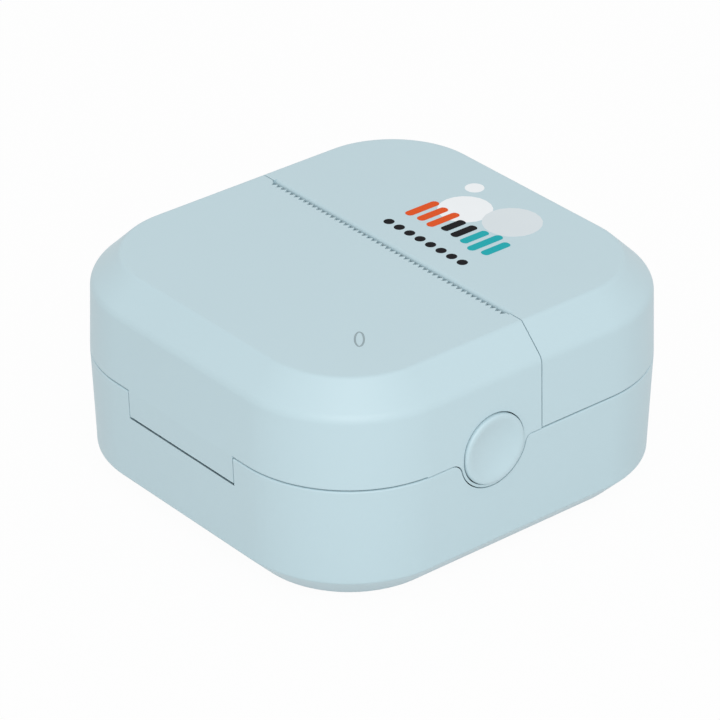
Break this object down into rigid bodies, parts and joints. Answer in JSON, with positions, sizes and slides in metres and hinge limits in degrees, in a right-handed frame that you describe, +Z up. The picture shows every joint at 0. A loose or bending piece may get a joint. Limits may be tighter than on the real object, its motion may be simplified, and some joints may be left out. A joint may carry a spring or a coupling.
{
  "type": "portable thermal printer",
  "caption": "Palm-sized receipt and label printer: rounded box whose front cover, with tear teeth and platen roller, flips open on a hinge over the paper roll.",
  "frame": {"origin": "on the surface it stands on, under the middle of the casing", "axes": "+X across the paper towards the release button's side, +Y from the hinge towards the rear with the charging socket, +Z up"},
  "size_m": [0.0785, 0.0818, 0.0408],
  "materials": {
    "casing": "satin moulded, fine texture",
    "button": "satin moulded, smoother than the casing",
    "tray": "black, fine texture",
    "rubber": "matt",
    "steel": "ground",
    "screw_steel": "zinc plated",
    "spring_steel": "drawn wire",
    "frame_steel": "pressed sheet",
    "motor_can": "plated can",
    "battery_film": "foil wrap",
    "foam": "closed-cell foam",
    "board": "solder mask",
    "chip": "moulded",
    "clear_plastic": "frosted",
    "bush_plastic": "slippery",
    "gear_plastic": "natural",
    "brass": "turned",
    "roller_rubber": "ground",
    "paper": "smooth coated",
    "cardboard": "wound",
    "head_ceramic": "glazed strip",
    "heatsink": "anodised"
  },
  "bodies": {
    "root": {"base_shell": "casing", "rubber_feet": "rubber", "rear_shell": "casing", "hinge_pin": "steel", "paper_tray": "tray", "tray_screws": "screw_steel", "case_screws": "screw_steel", "lever_pin": "steel", "motor": "motor_can", "gear_axles": "steel", "print_frame": "frame_steel", "frame_screws": "screw_steel", "head_springs": "spring_steel", "battery": "battery_film", "battery_pad": "foam", "circuit_board": "board", "board_screws": "screw_steel", "board_chips": "chip", "power_switch": "chip", "charging_socket": "frame_steel", "light_pipe": "clear_plastic", "paper_sensor": "chip"},
    "cover": {"front_cover": "casing", "platen_bracket": "frame_steel", "platen_bushes": "bush_plastic", "bracket_screws": "screw_steel", "button_spring": "spring_steel"},
    "platen": {"platen_shaft": "steel", "platen_rubber": "roller_rubber", "platen_gear": "gear_plastic", "shaft_clip": "spring_steel"},
    "drive": {"drive_gear": "gear_plastic"},
    "reduction": {"reduction_gear": "gear_plastic"},
    "rotor": {"motor_shaft": "steel", "motor_pinion": "brass"},
    "roll": {"paper_roll": "paper", "roll_core": "cardboard"},
    "button": {"release_button": "button"},
    "lever": {"release_lever": "bush_plastic"},
    "head": {"head_ceramic": "head_ceramic", "head_plate": "heatsink", "head_pins": "steel"},
    "power": {"power_button": "button"}
  },
  "joints": [
    {"name": "cover_hinge", "type": "hinge", "parent": "root", "child": "cover", "pos_m": [0, -0.0395, 0.0193], "axis": [1, 0, 0], "range_deg": [0, 95]},
    {"name": "platen_spin", "type": "hinge", "parent": "cover", "child": "platen", "pos_m": [0, -0.0009, 0.0315], "axis": [1, 0, 0], "continuous": true},
    {"name": "drive_spin", "type": "hinge", "parent": "root", "child": "drive", "pos_m": [0, 0.00172, 0.0231], "axis": [1, 0, 0], "continuous": true},
    {"name": "reduction_spin", "type": "hinge", "parent": "root", "child": "reduction", "pos_m": [0, 0.00681, 0.01801], "axis": [1, 0, 0], "continuous": true},
    {"name": "motor_spin", "type": "hinge", "parent": "root", "child": "rotor", "pos_m": [0, 0.01386, 0.01209], "axis": [1, 0, 0], "continuous": true},
    {"name": "roll_spin", "type": "hinge", "parent": "root", "child": "roll", "pos_m": [0, -0.019, 0.0187], "axis": [1, 0, 0], "continuous": true},
    {"name": "button_press", "type": "slide", "parent": "cover", "child": "button", "axis": [-1, 0, 0], "range_m": [0, 0.0013], "stiffness_N_per_m": 900, "springref_m": -0.0004, "deforming": ["button_spring"]},
    {"name": "lever_tilt", "type": "hinge", "parent": "root", "child": "lever", "pos_m": [0.0319, -0.0067, 0.01807], "axis": [0, -1, 0], "range_deg": [0, 18.7]},
    {"name": "head_tilt", "type": "hinge", "parent": "root", "child": "head", "pos_m": [0, 0.0054, 0.0252], "axis": [-1, 0, 0], "range_deg": [0, 1.5], "stiffness_Nm_per_rad": 0.4, "springref_deg": -2.86, "deforming": ["head_springs"]},
    {"name": "power_press", "type": "slide", "parent": "root", "child": "power", "axis": [0, -1, 0], "range_m": [0, 0.0005], "stiffness_N_per_m": 1500, "springref_m": -0.0003}
  ],
  "couplings": [
    {"joint": "drive_spin", "follows": "platen_spin", "ratio": -0.83333},
    {"joint": "reduction_spin", "follows": "platen_spin", "ratio": 1.6667},
    {"joint": "motor_spin", "follows": "platen_spin", "ratio": -6},
    {"joint": "lever_tilt", "follows": "button_press", "rad_per_m": 250}
  ]
}
